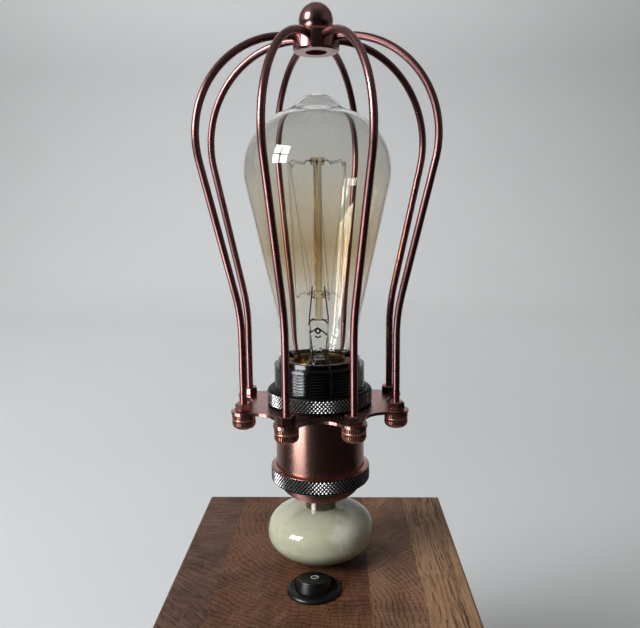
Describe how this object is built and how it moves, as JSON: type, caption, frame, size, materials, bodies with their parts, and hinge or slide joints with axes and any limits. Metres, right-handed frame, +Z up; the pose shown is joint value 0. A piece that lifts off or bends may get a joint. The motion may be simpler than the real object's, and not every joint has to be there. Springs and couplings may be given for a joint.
{
  "type": "table lamp",
  "caption": "Table lamp on a glued oak cube with a rocker switch in its top, an onyx bead stem, a copper screw-ring lamp holder, a pear-shaped filament bulb and a bent-wire cage.",
  "frame": {"origin": "on the table under the centre of the cube, at the underside of the feet", "axes": "+Z up along the stem, -Y towards the switch side, +X to the right seen from the switch side"},
  "size_m": [0.13, 0.13, 0.3803],
  "materials": {
    "oak_dark": "oiled oak, dark quarter-sawn strip",
    "oak_end": "oiled oak, end grain",
    "oak_rift": "oiled oak, slanting grain",
    "oak_long": "oiled oak, long grain",
    "cover_board": "raw board",
    "zinc": "yellow zinc",
    "foot_rubber": "matte",
    "black_plastic": "satin",
    "cream_plastic": "satin",
    "switch_black": "satin",
    "brass": "bright",
    "tinned": "tinned",
    "steel": "plated",
    "onyx": "polished, cloudy pale green",
    "nickel": "polished nickel",
    "copper_satin": "satin copper",
    "knurled": "black between bright knurl crests",
    "porcelain": "glazed",
    "sleeve_black": "gloss",
    "copper_plate": "satin rose copper",
    "copper_polished": "polished rose copper",
    "copper_nut": "satin copper",
    "black_glass": "black glass",
    "bulb_glass": "clear with a faint amber tint",
    "stem_glass": "clear",
    "dark_wire": "drawn wire",
    "filament": "carbon-style filament",
    "lead_brown": "sleeved",
    "lead_grey": "sleeved",
    "lead_blue": "sleeved"
  },
  "bodies": {
    "base": {"base_stave_1": "oak_dark", "base_stave_2": "oak_end", "base_stave_3": "oak_rift", "base_stave_4": "oak_long", "base_cover": "cover_board", "cover_screws": "zinc", "feet": "foot_rubber", "cord_grommet": "black_plastic", "terminal_block": "cream_plastic", "terminal_screws": "brass", "block_screw": "zinc", "switch_housing": "switch_black", "switch_terminals": "tinned", "centre_rod": "steel", "rod_washer": "steel", "rod_nut": "brass", "onyx_bead": "onyx", "steel_collar": "nickel", "holder_dome": "copper_satin", "lower_ring": "knurled", "holder_shell": "copper_satin", "holder_core": "porcelain", "socket_shell": "brass", "centre_contact": "brass", "holder_sleeve": "sleeve_black", "cage_plate": "copper_plate", "hex_nuts": "copper_polished", "cap_nuts": "copper_nut", "cage_wire_1": "copper_polished", "cage_wire_2": "copper_polished", "cage_wire_3": "copper_polished", "cage_wire_4": "copper_polished", "cage_wire_5": "copper_polished", "cage_wire_6": "copper_polished", "cage_wire_7": "copper_polished", "cage_wire_8": "copper_polished", "cage_hub": "copper_polished", "finial_stud": "steel", "finial_ball": "copper_polished", "live_lead": "lead_brown", "switched_lead": "lead_grey", "neutral_lead": "lead_blue"},
    "rocker": {"rocker": "switch_black"},
    "contact_lever": {"contact_lever": "brass"},
    "shade_ring": {"shade_ring": "knurled"},
    "bulb_tip": {"bulb_tip_contact": "tinned"},
    "bulb": {"bulb_insulator": "black_glass", "bulb_cap": "brass", "bulb_glass": "bulb_glass", "bulb_stem": "stem_glass", "bulb_mandrel": "stem_glass", "bulb_leads": "dark_wire", "upper_supports": "dark_wire", "lower_supports": "dark_wire", "filament": "filament"}
  },
  "joints": [
    {"name": "rocker_tilt", "type": "hinge", "parent": "base", "child": "rocker", "pos_m": [-0.0024, -0.0304, 0.1335], "axis": [1, 0, 0], "range_deg": [0, 20]},
    {"name": "lever_tilt", "type": "hinge", "parent": "base", "child": "contact_lever", "pos_m": [-0.0024, -0.0304, 0.12], "axis": [1, 0, 0], "range_deg": [-12, 0]},
    {"name": "shade_ring_turn", "type": "hinge", "parent": "base", "child": "shade_ring", "pos_m": [0, 0, 0.2117], "axis": [0, 0, 1], "range_deg": [0, 180]},
    {"name": "bulb_rise", "type": "slide", "parent": "base", "child": "bulb_tip", "axis": [0, 0, 1], "range_m": [0, 0.01452]},
    {"name": "bulb_turn", "type": "hinge", "parent": "bulb_tip", "child": "bulb", "pos_m": [0, 0, 0.2275], "axis": [0, 0, 1], "range_deg": [0, 1440]}
  ],
  "couplings": [
    {"joint": "lever_tilt", "follows": "rocker_tilt", "ratio": -0.6},
    {"joint": "bulb_rise", "follows": "bulb_turn", "m_per_rad": 0.00057757}
  ]
}
